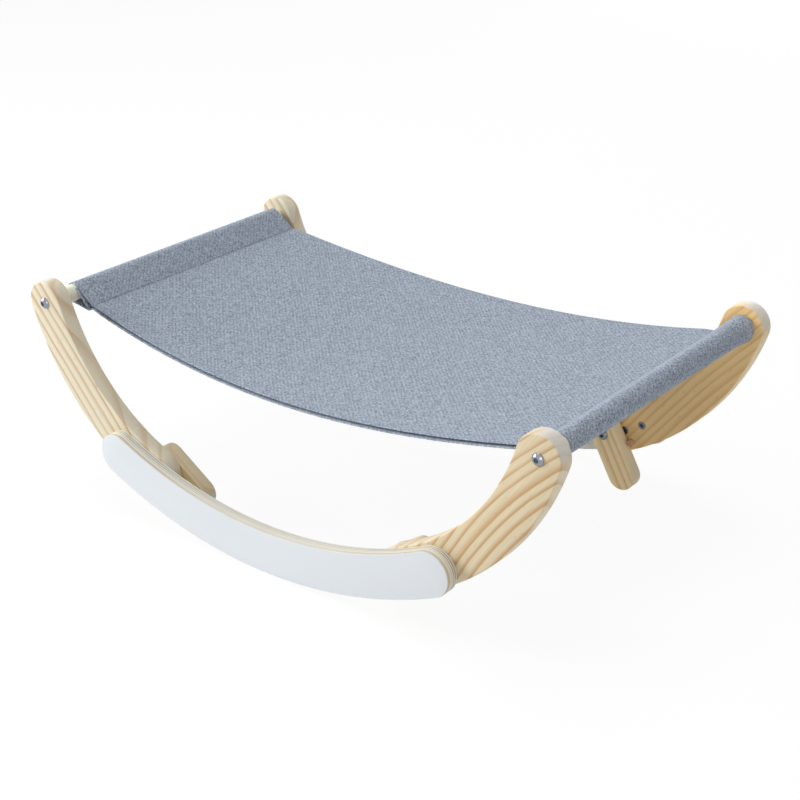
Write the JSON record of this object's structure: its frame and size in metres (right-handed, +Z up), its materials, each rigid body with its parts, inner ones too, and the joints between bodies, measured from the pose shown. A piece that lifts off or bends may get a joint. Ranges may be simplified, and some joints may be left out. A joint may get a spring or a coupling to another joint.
{
  "type": "rocking cat hammock",
  "caption": "Low rocking cat hammock: curved wooden arms on white-faced rockers, rods that carry a sagging cloth sling, and swivel legs that fold down to stop the rocking.",
  "frame": {"origin": "on the floor, in the middle between the rods and between the side frames", "axes": "+X along the hammock from the left rod to the right rod, +Y from the front side frame to the rear one, +Z up"},
  "size_m": [0.5794, 0.353, 0.203],
  "materials": {
    "pine": "clear satin lacquer on straight-grained pine",
    "plywood": "sanded edge with thin ply lines",
    "white_facing": "smooth satin white",
    "rod_wood": "sanded pale wood",
    "leg_wood": "clear satin lacquer on pine",
    "peg_wood": "end grain of a beech dowel",
    "bright_bolts": "polished",
    "dark_bolts": "dark zinc",
    "washer_steel": "plain zinc",
    "brass_inserts": "machined",
    "sling_cloth": "heathered grey-blue linen weave, doubled and stitched"
  },
  "bodies": {
    "frame": {"front_left_arm": "pine", "front_right_arm": "pine", "rear_left_arm": "pine", "rear_right_arm": "pine", "front_rocker": "plywood", "rear_rocker": "plywood", "front_facing": "white_facing", "rear_facing": "white_facing", "left_rod": "rod_wood", "right_rod": "rod_wood", "rod_bolts": "bright_bolts", "rod_inserts": "brass_inserts", "rocker_bolts": "dark_bolts", "rocker_inserts": "brass_inserts", "pivot_bolts": "dark_bolts", "pivot_washers": "washer_steel", "pivot_inserts": "brass_inserts", "stop_pegs": "peg_wood", "sling_bed": "sling_cloth", "left_sleeve": "sling_cloth", "right_sleeve": "sling_cloth"},
    "front_left_leg": {"front_left_leg": "leg_wood"},
    "front_right_leg": {"front_right_leg": "leg_wood"},
    "rear_left_leg": {"rear_left_leg": "leg_wood"},
    "rear_right_leg": {"rear_right_leg": "leg_wood"}
  },
  "joints": [
    {"name": "front_left_swivel", "type": "hinge", "parent": "frame", "child": "front_left_leg", "pos_m": [-0.145, -0.1411, 0.05181], "axis": [0, 1, 0], "range_deg": [0, 84]},
    {"name": "front_right_swivel", "type": "hinge", "parent": "frame", "child": "front_right_leg", "pos_m": [0.145, -0.1411, 0.05181], "axis": [0, -1, 0], "range_deg": [0, 84]},
    {"name": "rear_left_swivel", "type": "hinge", "parent": "frame", "child": "rear_left_leg", "pos_m": [-0.145, 0.1411, 0.05181], "axis": [0, -1, 0], "range_deg": [0, 84]},
    {"name": "rear_right_swivel", "type": "hinge", "parent": "frame", "child": "rear_right_leg", "pos_m": [0.145, 0.1411, 0.05181], "axis": [0, 1, 0], "range_deg": [0, 84]}
  ]
}
